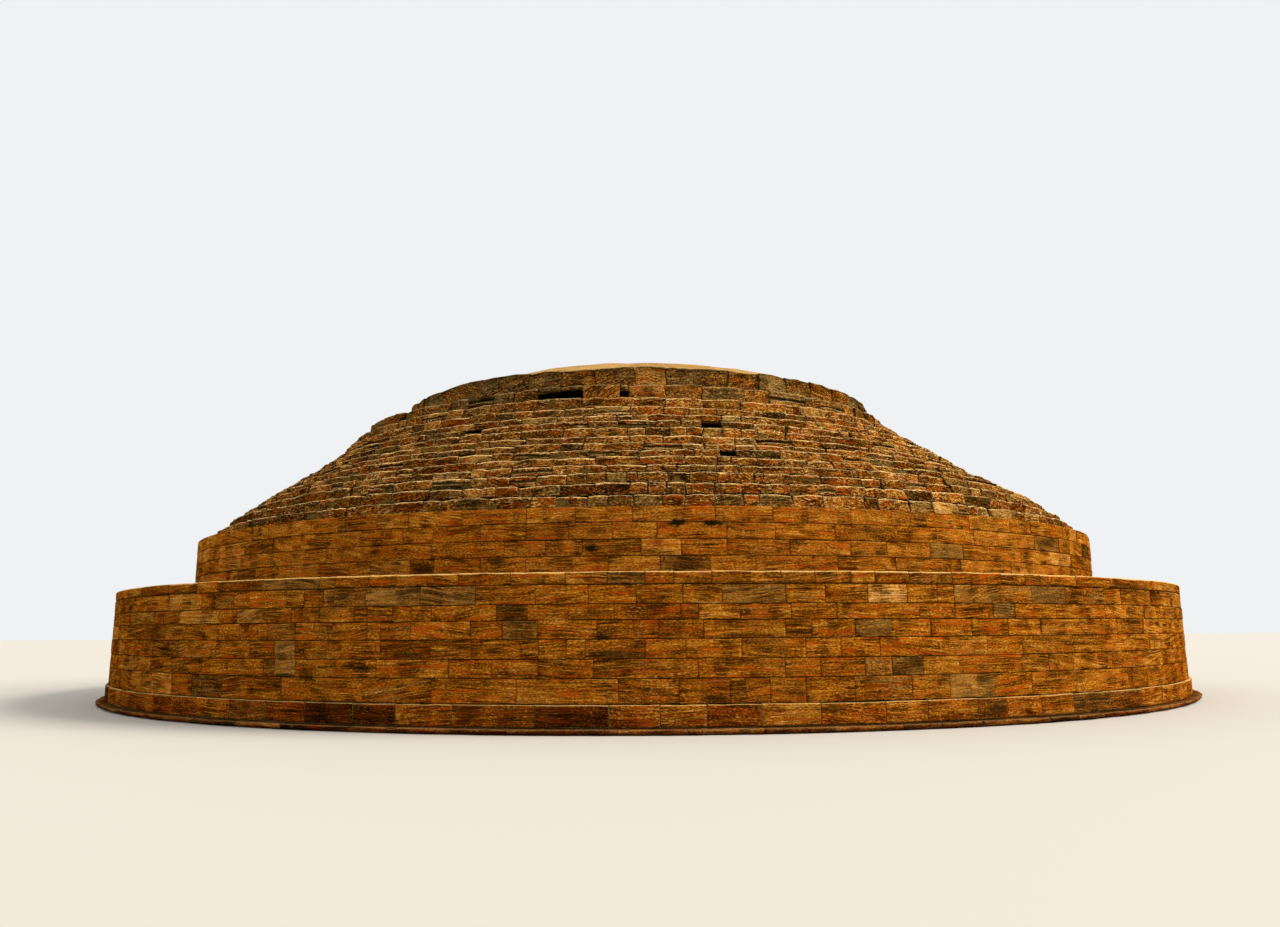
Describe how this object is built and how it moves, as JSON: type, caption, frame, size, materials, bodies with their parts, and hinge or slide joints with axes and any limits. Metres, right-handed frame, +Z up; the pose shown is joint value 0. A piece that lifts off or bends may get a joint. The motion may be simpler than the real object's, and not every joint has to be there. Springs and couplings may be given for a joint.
{
  "type": "stupa",
  "caption": "Low circular stone stupa: a plinth, a wide ashlar drum, a narrower upper drum, a stepped rubble dome, a ring of larger blocks and a rounded sandy cap.",
  "frame": {"origin": "on the ground at the axis of the plinth and the lower drum, at the centre of the footing's underside", "axes": "+Z up; the front, as it is seen in the picture, faces -Y; +X is to the right of a person who looks at the front; the top courses lean slightly towards -X"},
  "size_m": [15.212, 15.212, 4.77],
  "materials": {
    "footing_stone": "rough, eroded, dark under the nose",
    "plinth_stone": "dressed, weathered, dark brown and orange blocks",
    "drum_stone": "dressed, matt, streaked along the bedding",
    "coping_stone": "worn round and pale along the edge",
    "rubble_stone": "rough, split faces with grey-green mortar",
    "ring_stone": "weathered grey-brown blocks with lichen",
    "cap_screed": "packed sand and lime, dusty"
  },
  "bodies": {
    "root": {"footing_course": "footing_stone", "plinth_course": "plinth_stone", "lower_drum_course_1": "drum_stone", "lower_drum_course_2": "drum_stone", "lower_drum_course_3": "drum_stone", "lower_drum_course_4": "drum_stone", "lower_drum_course_5": "drum_stone", "lower_drum_course_6": "drum_stone", "coping_course": "coping_stone", "upper_drum_course_1": "drum_stone", "upper_drum_course_2": "drum_stone", "upper_drum_course_3": "drum_stone", "upper_drum_course_4": "drum_stone", "dome_course_01": "rubble_stone", "dome_course_02": "rubble_stone", "dome_course_03": "rubble_stone", "dome_course_04": "rubble_stone", "dome_course_05": "rubble_stone", "dome_course_06": "rubble_stone", "dome_course_07": "rubble_stone", "dome_course_08": "rubble_stone", "dome_course_09": "rubble_stone", "dome_course_10": "rubble_stone", "dome_course_11": "rubble_stone", "dome_course_12": "rubble_stone", "dome_course_13": "rubble_stone", "ring_course_lower": "ring_stone", "ring_course_upper": "ring_stone", "cap_mound": "cap_screed"}
  },
  "joints": []
}
